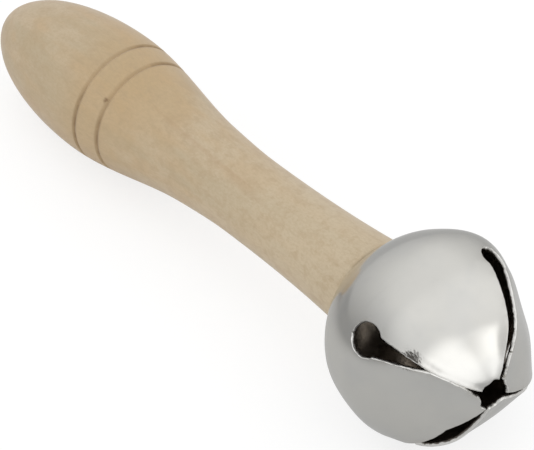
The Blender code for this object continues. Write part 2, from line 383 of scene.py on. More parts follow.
def wood_material():
    """Pale, close-grained hardwood, sanded smooth, burnt grooves with painted shade, raw end grain.
    """
    material, tree, shader = new_material("pale hardwood")
    place = millimetres(tree, STICK_PLACE)
    x, y, z = (tree.part(place, name) for name in "XYZ")
    bands = tree.noise(tree.scaled(place, 0.05, 0.5, 0.5), 0.42, 2.0, 0.5, 0.3)
    patches = tree.noise(tree.scaled(place, 0.55, 1.0, 1.0), 0.20, 3.0, 0.55)
    clouds = tree.noise(tree.scaled(place, 0.8, 1.0, 1.0), 0.55, 3.0, 0.6)
    fibre = tree.noise(tree.scaled(place, 0.12, 2.4, 2.4), 1.0, 3.0, 0.6)
    flecks = tree.noise(tree.scaled(place, 0.5, 3.0, 3.0), 1.1, 1.0, 0.5)
    pores = tree.noise(tree.scaled(place, 0.8, 1.5, 1.5), 1.5, 2.0, 0.7)
    cream = rgb(0.588, 0.470, 0.318)
    peach = rgb(0.568, 0.422, 0.257)
    straw = rgb(0.485, 0.401, 0.264)
    ivory = rgb(0.625, 0.520, 0.365)
    amber = rgb(0.540, 0.382, 0.204)
    honey = rgb(0.550, 0.392, 0.214)
    sand = rgb(0.480, 0.355, 0.215)
    fibre_brown = rgb(0.42, 0.32, 0.20)
    pore_brown = rgb(0.44, 0.33, 0.19)
    fleck_brown = rgb(0.34, 0.24, 0.15)
    streak_brown = rgb(0.42, 0.27, 0.145)
    groove_burn_and_shade_brown = rgb(0.25, 0.155, 0.07)
    chip_brown = rgb(0.22, 0.13, 0.06)

    colour = tree.mix(tree.step(patches, 0.38, 0.66), cream, peach)
    colour = tree.mix(tree.step(bands, 0.42, 0.66, 0.0, 0.55), colour, straw)
    colour = tree.mix(tree.step(x, 48.0, 98.0, 0.0, 0.70), colour, ivory)
    front = tree.step(tree.distance(place, WARM_FRONT), 3.0, 13.0, 0.60, 0.0)
    top = tree.step(tree.distance(place, WARM_TOP), 3.0, 11.0, 0.40, 0.0)
    colour = tree.mix(tree.math("MAXIMUM", front, top), colour, amber)
    for groove in GROOVES:
        warmth = tree.step(abs(x - groove), 0.3, 10.0, 0.50, 0.0)
        colour = tree.mix(warmth, colour, honey)
    colour = tree.mix(tree.step(clouds, 0.44, 0.68, 0.0, 0.42), colour, sand)
    colour = tree.mix(tree.step(fibre, 0.50, 0.78, 0.0, 0.24), colour, fibre_brown)
    colour = tree.mix(tree.step(pores, 0.38, 0.66, 0.0, 0.25), colour, pore_brown)
    colour = tree.mix(tree.step(flecks, 0.68, 0.76, 0.0, 0.12), colour, fleck_brown)

    from_streak = abs(y - STREAK_Y + (bands - 0.5) * 5.0)
    streak = tree.step(from_streak, 0.05, 0.75, 0.24, 0.0) * tree.step(z, 0.0, 2.0)
    streak = streak * tree.step(x, 44.0, 54.0) * tree.step(x, 74.0, 88.0, 1.0, 0.0)
    colour = tree.mix(streak, colour, streak_brown)
    # The grooves' brown is burn with painted shade in the recess, darker away from PALER_GROOVES_Y
    burn_and_shade = tree.step(abs(y - PALER_GROOVES_Y), 3.5, 9.0, 0.30, 1.0)
    burn_and_shade = burn_and_shade * tree.step(clouds, 0.25, 0.60, 0.55, 1.0)
    for groove in GROOVES:
        off = abs(x - groove) + (clouds - 0.5) * 0.35
        colour = tree.mix(tree.step(off, 0.05, 0.85, 0.85, 0.0) * burn_and_shade, colour, groove_burn_and_shade_brown)
    from_chip = tree.distance(place, CHIP) + (flecks - 0.5) * 0.6
    chip = tree.step(from_chip, 0.35, 0.95, 0.85, 0.0)
    colour = tree.mix(chip, colour, chip_brown)

    raw = raw_wood(tree, x, tree.math("SQRT", y * y + z * z))
    colour = tree.mix(raw, colour, end_grain(tree, y, z, patches))
    feed(tree, shader, "Base Color", colour)
    feed(tree, shader, "Roughness", 0.50 + fibre * 0.12 + raw * 0.2)
    turning = tree.math("SINE", x * 17.0 + patches * 4.0)
    bump(tree, shader, fibre * 0.5 + turning * 0.03 + flecks * 0.2 - chip, 0.05, 0.35)
    shader.inputs["Specular IOR Level"].default_value = 0.42
    shader.inputs["Sheen Weight"].default_value = 0.30
    shader.inputs["Sheen Roughness"].default_value = 0.35
    shader.inputs["Sheen Tint"].default_value = rgb(0.90, 0.86, 0.90)
    return material


def raw_wood(tree, x, radius):
    """Where the wood is cut and not sanded: the dished end and the screw's bore."""
    flat = END_RADIUS - END_EDGE
    cut_end = tree.step(x, DISH_SEAT - 3.9, DISH_SEAT - 0.9)
    cut_end = cut_end * tree.step(radius, flat - 0.05, flat + 0.15, 1.0, 0.0)
    bore = tree.step(radius, BORE_RADIUS + 0.3, BORE_RADIUS + 0.6, 1.0, 0.0)
    bore = bore * tree.step(x, 85.0, 90.0)
    return tree.math("MAXIMUM", cut_end, bore)


def end_grain(tree, y, z, patches):
    """Growth rings on the cut end."""
    across, up = y - RINGS_Y, z - RINGS_Z
    away = tree.math("SQRT", across * across + up * up)
    rings = tree.math("SINE", away * 4.2 + patches * 3.0)
    return tree.mix((rings + 1.0) * 0.35, rgb(0.44, 0.32, 0.19), rgb(0.30, 0.20, 0.11))


def nickel_material():
    """Bright nickel plate over a pressed sheet, with faint polishing marks, edge wear and a painted
    dark reflection.
    """
    material, tree, shader = new_material("nickel plate")
    place = millimetres(tree, BELL_PLACE)
    clouds = tree.noise(place, 0.09, 3.0, 0.55)
    patches = tree.noise(place, 0.35, 4.0, 0.6, 0.3)
    lines = tree.noise(tree.scaled(place, 5.0, 0.5, 0.5), 0.9, 2.0, 0.6)
    edge = tree.add("ShaderNodeAttribute", {"attribute_name": "edge_wear"}, {}, "Fac")
    warm = rgb(0.690, 0.680, 0.645)
    cool = rgb(0.660, 0.655, 0.630)
    dull = rgb(0.58, 0.57, 0.54)
    worn = rgb(0.50, 0.47, 0.42)
    painted_dark_reflection = rgb(0.06, 0.055, 0.05)
    colour = tree.mix(tree.step(clouds, 0.38, 0.66), warm, cool)
    colour = tree.mix(tree.step(patches, 0.52, 0.80, 0.0, 0.15), colour, dull)
    colour = tree.mix(edge * tree.step(patches, 0.42, 0.60) * 0.35, colour, worn)
    strokes = tree.noise(tree.scaled(place, 1.2, 4.0, 1.2), 1.4, 2.0, 0.7)
    # Painted dark reflection: a ragged dark patch in the plate's colour above the left slot
    from_dark_reflection = tree.distance(place, DARK_REFLECTION_SPOT) + (strokes - 0.5) * 4.0
    colour = tree.mix(tree.step(from_dark_reflection, 1.0, 2.2, 0.97, 0.0), colour, painted_dark_reflection)
    feed(tree, shader, "Base Color", colour)
    feed(tree, shader, "Roughness", 0.11 + patches * 0.06 + lines * 0.03 + edge * 0.10)
    bump(tree, shader, lines * 0.10 + patches * 0.5, 0.02, 0.15)
    shader.inputs["Metallic"].default_value = 1.0
    return material


def sheared_material():
    """The torn edge of the sheet, bright where the plate took and pitted in places."""
    material, tree, shader = new_material("sheared edge")
    place = millimetres(tree, BELL_PLACE)
    tear = tree.noise(place, 1.1, 3.0, 0.6)
    grit = tree.noise(place, 3.0, 2.0, 0.6)
    depth = tree.add("ShaderNodeAttribute", {"attribute_name": "edge_wear"}, {}, "Fac")
    dark = rgb(0.16, 0.14, 0.12)
    bright = rgb(0.93, 0.92, 0.89)
    plate = rgb(0.68, 0.67, 0.64)
    colour = tree.mix(tree.step(depth + tear - 0.5, 0.24, 0.46), dark, bright)
    colour = tree.mix(tree.step(depth, 0.88, 0.97), colour, plate)
    feed(tree, shader, "Base Color", colour)
    feed(tree, shader, "Roughness", 0.30 + grit * 0.15)
    bump(tree, shader, tear * 0.8 + grit * 0.2, 0.06, 0.35)
    shader.inputs["Metallic"].default_value = 1.0
    return material


def inside_material():
    """The bell's inside, where the plate is thin, brown and dull."""
    material, tree, shader = new_material("bell inside")
    place = millimetres(tree, BELL_PLACE)
    stain = tree.noise(place, 0.25, 4.0, 0.6)
    spots = tree.noise(place, 1.4, 3.0, 0.6)
    tan = rgb(0.34, 0.29, 0.235)
    brown = rgb(0.10, 0.08, 0.06)
    spot = rgb(0.07, 0.05, 0.04)
    colour = tree.mix(tree.step(stain, 0.35, 0.7), tan, brown)
    colour = tree.mix(tree.step(spots, 0.55, 0.75, 0.0, 0.5), colour, spot)
    feed(tree, shader, "Base Color", colour)
    feed(tree, shader, "Roughness", 0.13 + spots * 0.16)
    bump(tree, shader, spots, 0.05, 0.4)
    shader.inputs["Metallic"].default_value = 0.85
    return material


def zinc_material():
    """Zinc plate on the screw, faintly clouded."""
    material, tree, shader = new_material("zinc plate")
    place = millimetres(tree, BELL_PLACE)
    cloud = tree.noise(place, 0.7, 3.0, 0.6)
    grit = tree.noise(place, 4.0, 2.0, 0.5)
    warm = rgb(0.60, 0.60, 0.57)
    cool = rgb(0.48, 0.50, 0.52)
    colour = tree.mix(tree.step(cloud, 0.35, 0.65), warm, cool)
    feed(tree, shader, "Base Color", colour)
    feed(tree, shader, "Roughness", 0.30 + cloud * 0.15 + grit * 0.05)
    bump(tree, shader, grit, 0.02, 0.4)
    shader.inputs["Metallic"].default_value = 1.0
    return material


def pellet_material():
    """Tumbled steel with rub marks and a little rust bloom."""
    material, tree, shader = new_material("tumbled steel")
    place = millimetres(tree, BELL_PLACE)
    rub = tree.noise(place, 0.9, 4.0, 0.65)
    pits = tree.noise(place, 3.2, 2.0, 0.5)
    steel = rgb(0.42, 0.42, 0.42)
    rubbed = rgb(0.27, 0.26, 0.25)
    rust_brown = rgb(0.20, 0.11, 0.06)
    colour = tree.mix(tree.step(rub, 0.40, 0.62), steel, rubbed)
    rust = tree.step(pits, 0.62, 0.72, 0.0, 0.6)
    colour = tree.mix(rust, colour, rust_brown)
    feed(tree, shader, "Base Color", colour)
    feed(tree, shader, "Roughness", 0.28 + rub * 0.2 + rust * 0.2)
    bump(tree, shader, pits, 0.03, 0.4)
    shader.inputs["Metallic"].default_value = 1.0
    return material


# Shapes: how close two points are one, how close is touching, sides of the round pieces, and
# the angle from which an edge stays sharp

SEAM = 0.0005
TOUCH = 0.01
HANDLE_SIDES = 128
SCREW_SIDES = 48
SHARP_ANGLE = 32.0


def add_item(name, data):
    """A new object in the scene."""
    item = bpy.data.objects.new(name, data)
    bpy.context.scene.collection.objects.link(item)
    return item


def mesh_from(bm, name):
    """A named mesh from one that is still being edited, which is freed."""
    mesh = bpy.data.meshes.new(name)
    bm.to_mesh(mesh)
    bm.free()
    return mesh


def modifier_tree(name, inputs):
    """A Geometry Nodes tree with its group inputs, which come after the geometry."""
    group = bpy.data.node_groups.new(name, "GeometryNodeTree")
    face = group.interface
    face.new_socket("Outline", in_out="INPUT", socket_type="NodeSocketGeometry")
    for title, kind in inputs:
        face.new_socket(title, in_out="INPUT", socket_type=kind)
    face.new_socket("Piece", in_out="OUTPUT", socket_type="NodeSocketGeometry")
    return group, Tree(group)


def turned_tree():
    """Turns an outline, a row of points (place along X, 0, radius), about the X axis."""
    inputs = (
        ("Sides", "NodeSocketInt"),
        ("Thread Pitch", "NodeSocketFloat"),
        ("Thread Depth", "NodeSocketFloat"),
        ("Thread Start", "NodeSocketFloat"),
        ("Thread End", "NodeSocketFloat"),
        ("Seam Distance", "NodeSocketFloat"),
        ("Material", "NodeSocketMaterial"),
    )
    group, tree = modifier_tree("turned piece", inputs)
    given = tree.add("NodeGroupInput", {}, {}, "Outline")
    sides = given.other("Sides")
    count = tree.add(
        "GeometryNodeAttributeDomainSize", {"component": "MESH"}, {"Geometry": given}
    )
    grid = tree.add(
        "GeometryNodeMeshGrid", {}, {"Vertices X": sides + 1.0, "Vertices Y": count}
    )
    index = tree.add("GeometryNodeInputIndex")
    row = tree.math("MODULO", index, count)
    column = tree.math("FLOOR", (index + 0.5) / count)
    outline = tree.add(
        "GeometryNodeSampleIndex",
        {"data_type": "FLOAT_VECTOR", "domain": "POINT"},
        {"Geometry": given, "Value": tree.add("GeometryNodeInputPosition"), "Index": row},
    )
    x, radius = tree.part(outline, "X"), tree.part(outline, "Z")
    share = column / sides
    angle = share * (2.0 * math.pi)
    turns = tree.math("FRACT", x / given.other("Thread Pitch") + share)
    crest = tree.math("MAXIMUM", 1.0 - abs(turns - 0.5) * THREAD_SHARPNESS, 0.0)
    start, end = given.other("Thread Start"), given.other("Thread End")
    crest = crest * tree.step(x, start, start + 1.5) * tree.step(x, end - 0.8, end, 1.0, 0.0)
    radius = radius + crest * tree.step(radius, 0.0, 0.6) * given.other("Thread Depth")
    y, z = radius * tree.math("SINE", angle), radius * tree.math("COSINE", angle)
    place = tree.add("ShaderNodeCombineXYZ", {}, {"X": x, "Y": y, "Z": z})
    turned = tree.add("GeometryNodeSetPosition", {}, {"Geometry": grid, "Position": place})
    closed = tree.add(
        "GeometryNodeMergeByDistance",
        {},
        {"Geometry": turned, "Distance": given.other("Seam Distance")},
    )
    smooth = tree.add("GeometryNodeSetShadeSmooth", {}, {"Geometry": closed})
    real = tree.add("GeometryNodeRealizeInstances", {}, {"Geometry": smooth})
    done = tree.add(
        "GeometryNodeSetMaterial", {}, {"Geometry": real, "Material": given.other("Material")}
    )
    tree.add("NodeGroupOutput", {}, {"Piece": done})
    return group


TURNED = turned_tree()


def turned_piece(name, outline, material, sides, thread=(1.0, 0.0, 0.0, 1.0)):
    """A body turned about X and kept as a plain mesh; its thread has pitch, depth, start, end."""
    mesh = bpy.data.meshes.new(name)
    points = [(place, 0.0, radius) for place, radius in outline]
    mesh.from_pydata(points, [(i, i + 1) for i in range(len(points) - 1)], [])
    item = add_item(name, mesh)
    turn = item.modifiers.new("turned", "NODES")
    turn.node_group = TURNED
    pitch, depth, start, end = thread
    values = {
        "Sides": sides,
        "Thread Pitch": pitch,
        "Thread Depth": depth,
        "Thread Start": start,
        "Thread End": end,
        "Seam Distance": SEAM,
        "Material": material,
    }
    for socket in TURNED.interface.items_tree:
        if socket.in_out == "INPUT" and socket.name in values:
            turn[socket.identifier] = values[socket.name]
    keep_modified(item)
    return item


def keep_modified(item):
    """Keep the mesh that an object's modifiers give, and drop the modifiers."""
    graph = bpy.context.evaluated_depsgraph_get()
    mesh = bpy.data.meshes.new_from_object(item.evaluated_get(graph))
    item.modifiers.clear()
    item.data = mesh


def finish_piece(item, place, body, sharp_angle=SHARP_ANGLE):
    """Put a piece in its place with its faces outwards, and give it its body."""
    mesh = item.data
    bm = bmesh.new()
    bm.from_mesh(mesh)
    bmesh.ops.remove_doubles(bm, verts=bm.verts, dist=SEAM)
    bmesh.ops.recalc_face_normals(bm, faces=bm.faces)
    bm.to_mesh(mesh)
    bm.free()
    mesh.transform(place)
    mesh.shade_smooth()
    mesh.set_sharp_from_angle(angle=math.radians(sharp_angle))
    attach(item, body)


# Handle

def through(knots, place, last_slope, first_slope=0.0):
    """Smooth curve through (place, value) knots that doesn't overshoot them."""
    slopes = [first_slope]
    for (a, low), (b, middle), (c, high) in zip(knots, knots[1:], knots[2:]):
        before, after = (middle - low) / (b - a), (high - middle) / (c - b)
        turns_back = before * after <= 0.0
        slopes.append(0.0 if turns_back else 2.0 * before * after / (before + after))
    slopes.append(last_slope)
    i = next((k for k in range(len(knots) - 2) if place <= knots[k + 1][0]), len(knots) - 2)
    (start, low), (end, high) = knots[i], knots[i + 1]
    span = end - start
    t = (place - start) / span
    rise = t * t * (3.0 - 2.0 * t)
    leave = t * (1.0 - t) ** 2 * span * slopes[i]
    arrive = -t * t * (1.0 - t) * span * slopes[i + 1]
    return low + (high - low) * rise + leave + arrive


def handle_radius(place):
    """Radius of the turned handle."""
    if place <= BULB[0]:
        back = 1.0 - place / BULB[0]
        point = math.sqrt(min(place / BUTT_ROUND, 1.0))
        blunt = 1.0 - BUTT_BLUNTNESS * (1.0 - point)
        return max(BULB[1] * math.sqrt(1.0 - back ** 2) * blunt, BUTT_FLAT_RADIUS)
    knots = (BULB, SHOULDER, WAIST, (HANDLE_LENGTH, END_RADIUS))
    return through(knots, place, END_FLARE)


def groove_depth(place):
    """How deep the V grooves go here, their lips and bottoms a little round."""
    depth = 0.0
    for groove in GROOVES:
        off = abs(place - groove) / (GROOVE_WIDTH / 2.0)
        rounded = math.sqrt(off ** 2 + GROOVE_BOTTOM_ROUNDING) - GROOVE_LIP_ROUNDING * off
        depth += GROOVE_DEPTH * max(0.0, 1.0 - rounded)
    return depth


def handle_outline():
    """From the bore's bottom out over the end, along the handle and in at the butt."""
    mouth = HANDLE_LENGTH
    bottom = DISH_SEAT - BORE_DEPTH
    lip = END_RADIUS - END_EDGE
    points = [(bottom, 0.0), (bottom, BORE_RADIUS)]
    for k in range(1, BORE_ROWS + 1):
        points.append((bottom + (mouth - bottom) * k / BORE_ROWS, BORE_RADIUS))
    for k in range(1, END_ROWS + 1):
        points.append((mouth, BORE_RADIUS + (lip - BORE_RADIUS) * k / END_ROWS))
    for k in range(1, END_EDGE_ROWS + 1):
        angle = math.radians(90.0 * k / END_EDGE_ROWS)
        place = mouth - END_EDGE * (1.0 - math.cos(angle))
        points.append((place, lip + END_EDGE * math.sin(angle)))
    plain = [k * PLAIN_ROW_STEP for k in range(1, PLAIN_ROWS + 1)] + list(BUTT_ROWS)
    rows = [row for row in plain if all(abs(row - g) > GROOVE_CLEARANCE for g in GROOVES)]
    for groove in GROOVES:
        for k in range(-GROOVE_HALF_ROWS, GROOVE_HALF_ROWS + 1):
            rows.append(groove + k * GROOVE_ROW_STEP)
    for place in sorted(rows, reverse=True):
        if place < mouth - END_EDGE * 1.3:
            points.append((place, handle_radius(place) - groove_depth(place)))
    points += [(0.0, BUTT_FLAT_RADIUS), (0.0, BUTT_FLAT_RADIUS * 0.5), (0.0, 0.0)]
    return points


def make_handle():
    """The turned handle, its end dished for the bell and bored for the screw."""
    item = turned_piece("handle_turned", handle_outline(), wood_material(), HANDLE_SIDES)
    centre_x = DISH_SEAT + BELL_RADIUS * math.cos(BELL_RISE) * math.cos(BELL_YAW)
    centre_y = BELL_RADIUS * math.cos(BELL_RISE) * math.sin(BELL_YAW)
    centre_z = BELL_RADIUS * math.sin(BELL_RISE)
    end = HANDLE_LENGTH - TOUCH
    for vert in item.data.vertices:
        x, y, z = vert.co
        if HANDLE_LENGTH / 2.0 < x < end and math.hypot(y, z) < BORE_RADIUS + TOUCH:
            x = x + (DISH_SEAT - HANDLE_LENGTH) * (x - DISH_SEAT + BORE_DEPTH) / BORE_DEPTH
            y = y + (x - DISH_SEAT) * math.tan(BELL_YAW)
            z = z + (x - DISH_SEAT) * math.tan(BELL_RISE)
            vert.co = (x, y, z)
        elif x > end:
            reach = DISH_RADIUS ** 2 - (y - centre_y) ** 2 - (z - centre_z) ** 2
            vert.co.x = min(x, centre_x - math.sqrt(reach))
    finish_piece(item, STICK_PLACE, "stick")
    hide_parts("handle")


# Bell

WHOLE_ANGLES = np.linspace(0.0, 180.0, 721)


def fold_table(values):
    """The fold from nose to tail, from its values at the fold angles."""
    places = (0.0, *FOLD_ANGLES, *TAIL_ANGLES)
    knots = list(zip(places, (NOSE_FOLD, *values, values[-1] / 2.0, 0.0)))
    rises = [(knots[k + 1][1] - knots[k][1]) / FOLD_ANGLES[0] for k in (0, 1)]
    first_slope = 1.5 * rises[0] - 0.5 * rises[1]
    return [through(knots, angle, 0.0, first_slope) for angle in WHOLE_ANGLES]


PETAL_TABLES = [fold_table(values) for values in PETAL_FOLDS]
SLOT_TABLES = [fold_table(values) for values in SLOT_FOLDS]


def smooth_step(t):
    """From 0 to 1, level at both ends."""
    t = min(max(t, 0.0), 1.0)
    return t * t * (3.0 - 2.0 * t)


def skin_point(degrees, turn, petal=None):
    """A point of the bell's outside and the way out there, by angle from the nose and turn."""
    if petal is None:
        petal = math.floor((turn - SLOT_TURN) / PART)
    off = turn - SLOT_TURN - (petal + 0.5) * PART
    wave = smooth_step((degrees - FLAT_ENDS) / (WAVE_STARTS - FLAT_ENDS))
    flat = (1.0 / math.cos(off) - 1.0) / (1.0 / math.cos(PART / 2.0) - 1.0)
    corner = flat + (math.sin(2.0 * off) ** 2 - flat) * wave
    slot = petal if off < 0.0 else petal + 1
    middle = np.interp(degrees, WHOLE_ANGLES, PETAL_TABLES[petal % PETALS])
    beside = np.interp(degrees, WHOLE_ANGLES, SLOT_TABLES[slot % PETALS])
    angle = math.radians(degrees)
    side = math.sin(angle)
    way = Vector((math.cos(angle), -side * math.sin(turn), side * math.cos(turn)))
    point = way * float(BELL_RADIUS - middle - (beside - middle) * corner)
    point.z -= NOSE_DROP * math.exp(-(degrees / NOSE_DROP_REACH) ** 2)
    return point, way


def ragged(count, size, seed):
    """A rough line of small offsets along a torn edge."""
    values = np.random.default_rng(seed).normal(0.0, 1.0, count + 4)
    slow = np.convolve(values, (0.15, 0.25, 0.3, 0.2, 0.1), "same")
    return (slow * 1.6 + values * 0.35)[2:count + 2] * size


def edge_rows(slot, start):
    """Angles from the nose, in degrees, along one slot's edges: closer round its keyhole."""
    place, radius, _ = KEYHOLES[slot]
    top = math.degrees(radius / KEYHOLE_REACH)
    neck = place - top * math.cos(math.radians(NECK))
    rows = list(np.linspace(start, neck, ALONG_ROWS))
    for k in range(1, KEYHOLE_ROWS):
        round_hole = NECK + (180.0 - NECK) * k / (KEYHOLE_ROWS - 1)
        rows.append(place - top * math.cos(math.radians(round_hole)))
    return rows


def edge_turn(slot, side, degrees, tear):
    """How far one edge of a slot turns away from the slot's line; side 0 is towards lower turns."""
    place, radius, aside = KEYHOLES[slot]
    slope = math.sin(math.radians(degrees))
    half = float(np.interp(degrees, EDGE_ANGLES, SLOT_WIDTHS[slot][side])) + tear
    turn = math.asin(max(-1.0, min(1.0, half / (SLOT_REACH * slope))))
    along = KEYHOLE_REACH * math.radians(degrees - place)
    hole = 0.0
    if abs(along) < radius:
        hole = (math.sqrt(radius ** 2 - along ** 2) + tear) / (KEYHOLE_REACH * slope)
    hole += math.radians(aside) * (1.0 if side else -1.0)
    return hole if degrees > place else max(turn, hole)


def edge_lift(slot, side, degrees, off):
    """How far the skin stands proud at a distance from one edge of a slot."""
    lift = float(np.interp(degrees, EDGE_ANGLES, SLOT_LIFTS[slot][side]))
    return lift * math.exp(-(off / LIFT_REACH) ** 2)


def petal_rows(petal, start, hole):
    """Rows of (point, wear) across one petal, from its tip over the dome to the screw's hole."""
    low_slot, high_slot = petal, (petal + 1) % PETALS
    low_rows, high_rows = edge_rows(low_slot, start), edge_rows(high_slot, start)
    last = len(low_rows) - 1
    low_tear = ragged(last + 1, SLOT_TEARS[low_slot][1], TEAR_SEEDS[1] + petal)
    high_tear = ragged(last + 1, SLOT_TEARS[high_slot][0], TEAR_SEEDS[0] + petal)
    low_line = SLOT_TURN + PART * petal
    high_line = low_line + PART
    rows = []
    for r in range(last + 1 + DOME_ROWS):
        at_edge = r < last
        back = max(0.0, (r - last) / DOME_ROWS)
        low_degrees = low_rows[min(r, last)] * (1.0 - back) + hole * back
        high_degrees = high_rows[min(r, last)] * (1.0 - back) + hole * back
        begin = low_line + math.radians(KEYHOLES[low_slot][2]) * (1.0 - back)
        end = high_line + math.radians(KEYHOLES[high_slot][2]) * (1.0 - back)
        if at_edge:
            begin = low_line + edge_turn(low_slot, 1, low_degrees, low_tear[r])
            end = high_line - edge_turn(high_slot, 0, high_degrees, high_tear[r])
        row = []
        for c in range(ACROSS + 1):
            even = c / ACROSS
            u = even + EDGE_CROWDING * (0.5 - 0.5 * math.cos(math.pi * even) - even)
            degrees = low_degrees + (high_degrees - low_degrees) * smooth_step(u)
            ripple = TIP_RIPPLE * math.sin(9.0 * u + petal * 2.0)
            degrees += ripple * max(0.0, 1.0 - r / TIP_ROWS)
            point, way = skin_point(degrees, begin + (end - begin) * u, petal if at_edge else None)
            wear = 0.0
            if at_edge:
                reach = (end - begin) * BELL_RADIUS * math.sin(math.radians(degrees))
                low_off, high_off = u * reach, (1.0 - u) * reach
                lift = edge_lift(low_slot, 1, low_degrees, low_off)
                lift += edge_lift(high_slot, 0, high_degrees, high_off)
                point = point + way * lift
                wear = math.exp(-min(low_off, high_off) / WEAR_REACH)
            row.append((point, wear))
        rows.append(row)
    return rows


def make_bell(nickel, sheared, inside):
    """The pressed shell: its outer skin, the torn edges round every opening, its inner skin."""
    bm = bmesh.new()
    wear_layer = bm.verts.layers.float.new("edge_wear")
    start = math.degrees(math.asin(NOSE_HOLE_RADIUS / (BELL_RADIUS - NOSE_FOLD)))
    hole = 180.0 - math.degrees(math.asin(BORE_RADIUS / BELL_RADIUS))
    for petal in range(PETALS):
        last = None
        for row in petal_rows(petal, start, hole):
            line = []
            for point, wear in row:
                vert = bm.verts.new(point)
                vert[wear_layer] = wear
                line.append(vert)
            if last:
                for c in range(ACROSS):
                    bm.faces.new((last[c], last[c + 1], line[c + 1], line[c]))
            last = line
    bmesh.ops.remove_doubles(bm, verts=bm.verts, dist=SEAM)
    bmesh.ops.recalc_face_normals(bm, faces=bm.faces)
    add_wall(bm, wear_layer)
    mesh = mesh_from(bm, "bell_pressed")
    for material in (nickel, sheared, inside):
        mesh.materials.append(material)
    item = add_item("bell_pressed", mesh)
    finish_piece(item, BELL_PLACE, "stick", BELL_SHARP_ANGLE)
    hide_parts("bell_shell")


def open_loops(bm):
    """Closed walks round the skin's open edges, each as a list of verts, in a fixed order."""
    left = dict.fromkeys(edge for edge in bm.edges if edge.is_boundary)
    loops = []
    while left:
        edge = next(iter(left))
        del left[edge]
        first, here = edge.verts
        walk = [first, here]
        while True:
            onward = next((e for e in here.link_edges if e in left), None)
            if onward is None:
                break
            del left[onward]
            here = onward.other_vert(here)
            if here == first:
                break
            walk.append(here)
        loops.append(walk)
    return loops


def add_wall(bm, wear):
    """Give the open skin its thickness, with a rounded and torn lip along every opening."""
    bm.normal_update()
    faces = list(bm.faces)
    loops = open_loops(bm)
    normals = {vert: vert.normal.copy() for vert in bm.verts}
    inner = {vert: bm.verts.new(vert.co - way * SHEET) for vert, way in normals.items()}
    for face in faces:
        turned = bm.faces.new([inner[vert] for vert in reversed(face.verts)])
        turned.material_index = 2
    rng = np.random.default_rng(LIP_SEED)
    for walk in loops:
        count = len(walk)
        rough = rng.normal(0.0, LIP_ROUGHNESS, (count, len(LIP)))
        rough = (rough + np.roll(rough, 1, 0) + np.roll(rough, -1, 0)) * 0.6
        last = None
        first = None
        for k, vert in enumerate(walk):
            along = (walk[(k + 1) % count].co - walk[k - 1].co).normalized()
            out = along.cross(normals[vert]).normalized()
            skin = [face for face in vert.link_faces if face.material_index == 0]
            inwards = sum((face.calc_center_median() - vert.co for face in skin), Vector())
            if out.dot(inwards) > 0.0:
                out.negate()
            column = [vert]
            for j, (stand, depth) in enumerate(LIP):
                point = vert.co + out * (stand + rough[k, j]) - normals[vert] * depth
                made = bm.verts.new(point)
                made[wear] = 1.0 - depth / SHEET
                column.append(made)
            column.append(inner[vert])
            if last:
                strip(bm, last, column)
            else:
                first = column
            last = column
        strip(bm, last, first)


def strip(bm, one, two):
    """Faces between two neighbouring rows across a lip."""
    for k in range(len(one) - 1):
        face = bm.faces.new((one[k], one[k + 1], two[k + 1], two[k]))
        face.material_index = 1


# Screw

def screw_outline():
    """From the point up the shank and over the pan head."""
    tip = -SCREW_SEAT - SCREW_LENGTH
    core = SCREW_RADIUS - THREAD_DEPTH
    places = np.linspace(tip, -SCREW_SEAT - 0.05, SHANK_ROWS)
    points = [(tip, 0.0)]
    for place in places[1:]:
        taper = min(1.0, (place - tip) / SCREW_POINT)
        points.append((float(place), core * taper ** 0.8))
    seat = -SCREW_SEAT
    points += [(seat, core), (seat, SCREW_HEAD_RADIUS - SCREW_RIM_BEVEL)]
    points.append((seat + SCREW_RIM_BEVEL, SCREW_HEAD_RADIUS))
    rim = seat + SCREW_RIM_HEIGHT
    crown = seat + SCREW_HEAD_HEIGHT
    for k in range(HEAD_ROWS + 1):
        angle = math.radians(90.0 * (1.0 - k / HEAD_ROWS))
        bulge = (SCREW_HEAD_RADIUS - SCREW_CROWN_RADIUS) * math.sin(angle)
        points.append((rim + (crown - rim) * math.cos(angle), SCREW_CROWN_RADIUS + bulge))
    for k in range(CROWN_ROWS - 1, -1, -1):
        points.append((crown, SCREW_CROWN_RADIUS * k / CROWN_ROWS))
    return points


def make_recess(turn):
    """A tapered bar that cuts one arm of the cross into the screw's head."""
    bm = bmesh.new()
    bmesh.ops.create_cube(bm, size=1.0)
    bm.transform(Matrix.Diagonal((2.0 * RECESS_DEPTH, RECESS_SPAN, RECESS_WIDTH, 1.0)))
    for vert in bm.verts:
        if vert.co.x < 0.0:
            vert.co.y *= RECESS_TAPER[0]
            vert.co.z *= RECESS_TAPER[1]
    bm.transform(Matrix.Rotation(math.radians(turn), 4, "X"))
    bm.transform(Matrix.Translation((-SCREW_SEAT + SCREW_HEAD_HEIGHT, 0.0, 0.0)))
    return add_item("recess", mesh_from(bm, "recess"))


def make_screw():
    """The pan-head screw with its thread and cross recess."""
    thread = (THREAD_PITCH, THREAD_DEPTH, -SCREW_SEAT - SCREW_LENGTH, -SCREW_SEAT - 1.0)
    zinc = zinc_material()
    item = turned_piece("screw_threaded", screw_outline(), zinc, SCREW_SIDES, thread)
    cutters = [make_recess(RECESS_TURN + 90.0 * arm) for arm in range(2)]
    for cutter in cutters:
        step = item.modifiers.new("recess", "BOOLEAN")
        step.operation = "DIFFERENCE"
        step.solver = "EXACT"
        step.object = cutter
    keep_modified(item)
    for cutter in cutters:
        bpy.data.objects.remove(cutter, do_unlink=True)
    finish_piece(item, BELL_PLACE, "stick")
    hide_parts("bell_screw")


# Pellet

